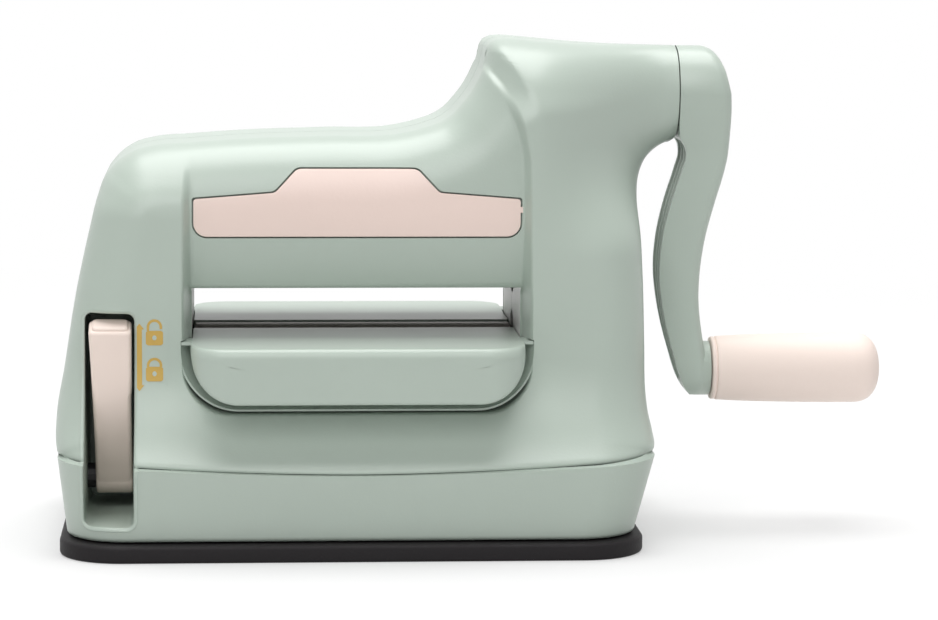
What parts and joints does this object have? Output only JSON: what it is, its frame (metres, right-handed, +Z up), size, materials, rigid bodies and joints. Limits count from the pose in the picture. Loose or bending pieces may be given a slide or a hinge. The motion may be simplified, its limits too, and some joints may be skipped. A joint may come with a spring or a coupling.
{
  "type": "die cutting machine",
  "caption": "Small hand cranked die cutting and embossing machine with a roller throat, plate trays, a side crank with a turning grip and a suction foot worked by a lever.",
  "frame": {"origin": "middle of the foot's underside, on the table", "axes": "+X towards the crank, +Y away from the user, +Z up"},
  "size_m": [0.201, 0.102, 0.1199],
  "materials": {
    "green_plastic": "satin moulded plastic, pale sage green",
    "cream_plastic": "satin moulded plastic, cream with a hint of pink",
    "grip_plastic": "satin moulded plastic, pale cream",
    "black_rubber": "matt moulded rubber",
    "zinc_steel": "zinc plated",
    "dark_steel": "dark ground steel",
    "grey_guide": "bright sheet",
    "bronze": "sintered",
    "nylon": "natural nylon"
  },
  "bodies": {
    "housing": {"front_housing": "green_plastic", "rear_housing": "green_plastic", "lower_housing": "green_plastic", "front_tray": "green_plastic", "rear_tray": "green_plastic", "front_inlay": "cream_plastic", "rear_inlay": "cream_plastic", "rubber_foot": "black_rubber", "base_plate": "zinc_steel", "left_frame": "zinc_steel", "right_frame": "zinc_steel", "front_tie_rod": "zinc_steel", "rear_tie_rod": "zinc_steel", "lift_bracket": "zinc_steel", "base_screw_front_left": "zinc_steel", "base_screw_front_right": "zinc_steel", "base_screw_rear_left": "zinc_steel", "base_screw_rear_right": "zinc_steel", "frame_screw_front_left": "zinc_steel", "frame_screw_rear_left": "zinc_steel", "frame_screw_front_right": "zinc_steel", "frame_screw_rear_right": "zinc_steel", "housing_screw_upper_left": "zinc_steel", "housing_screw_upper_right": "zinc_steel", "housing_screw_lower_middle": "zinc_steel", "housing_screw_lower_right": "zinc_steel", "front_tray_screw_left": "zinc_steel", "front_tray_screw_right": "zinc_steel", "rear_tray_screw_left": "zinc_steel", "rear_tray_screw_right": "zinc_steel", "front_left_guide": "grey_guide", "front_right_guide": "grey_guide", "rear_left_guide": "grey_guide", "rear_right_guide": "grey_guide", "upper_left_bush": "bronze", "upper_right_bush": "bronze", "lower_left_bush": "bronze", "lower_right_bush": "bronze", "crank_inner_bush": "bronze", "crank_outer_bush": "bronze"},
    "crank": {"crank_arm": "green_plastic", "crank_shaft": "dark_steel", "crank_screw": "zinc_steel", "crank_pinion": "zinc_steel", "grip_pin": "zinc_steel"},
    "grip_sleeve": {"grip": "grip_plastic"},
    "upper_roller_set": {"upper_roller": "dark_steel", "upper_roller_shaft": "dark_steel", "upper_sync_gear": "nylon", "drive_gear": "nylon"},
    "lower_roller_set": {"lower_roller": "dark_steel", "lower_roller_shaft": "dark_steel", "lower_sync_gear": "nylon"},
    "lever": {"suction_lever": "cream_plastic", "lever_shaft": "dark_steel", "lift_cam": "nylon"},
    "stem": {"suction_stem": "nylon"}
  },
  "joints": [
    {"name": "crank_turn", "type": "hinge", "parent": "housing", "child": "crank", "pos_m": [0.0786, 0, 0.1064], "axis": [1, 0, 0], "continuous": true},
    {"name": "grip_spin", "type": "hinge", "parent": "crank", "child": "grip_sleeve", "pos_m": [0.08796, 0, 0.0384], "axis": [1, 0, 0], "continuous": true},
    {"name": "upper_roller_turn", "type": "hinge", "parent": "housing", "child": "upper_roller_set", "pos_m": [0, 0, 0.0704], "axis": [1, 0, 0], "continuous": true},
    {"name": "lower_roller_turn", "type": "hinge", "parent": "housing", "child": "lower_roller_set", "pos_m": [0, 0, 0.0404], "axis": [1, 0, 0], "continuous": true},
    {"name": "suction_lever_swing", "type": "hinge", "parent": "housing", "child": "lever", "pos_m": [-0.058, -0.02, 0.0158], "axis": [1, 0, 0], "range_deg": [0, 65]},
    {"name": "stem_lift", "type": "slide", "parent": "housing", "child": "stem", "axis": [0, 0, 1], "range_m": [0, 0.003]}
  ],
  "couplings": [
    {"joint": "upper_roller_turn", "follows": "crank_turn", "ratio": -0.33333},
    {"joint": "lower_roller_turn", "follows": "crank_turn", "ratio": 0.33333},
    {"joint": "stem_lift", "follows": "suction_lever_swing", "m_per_rad": 0.002644}
  ]
}
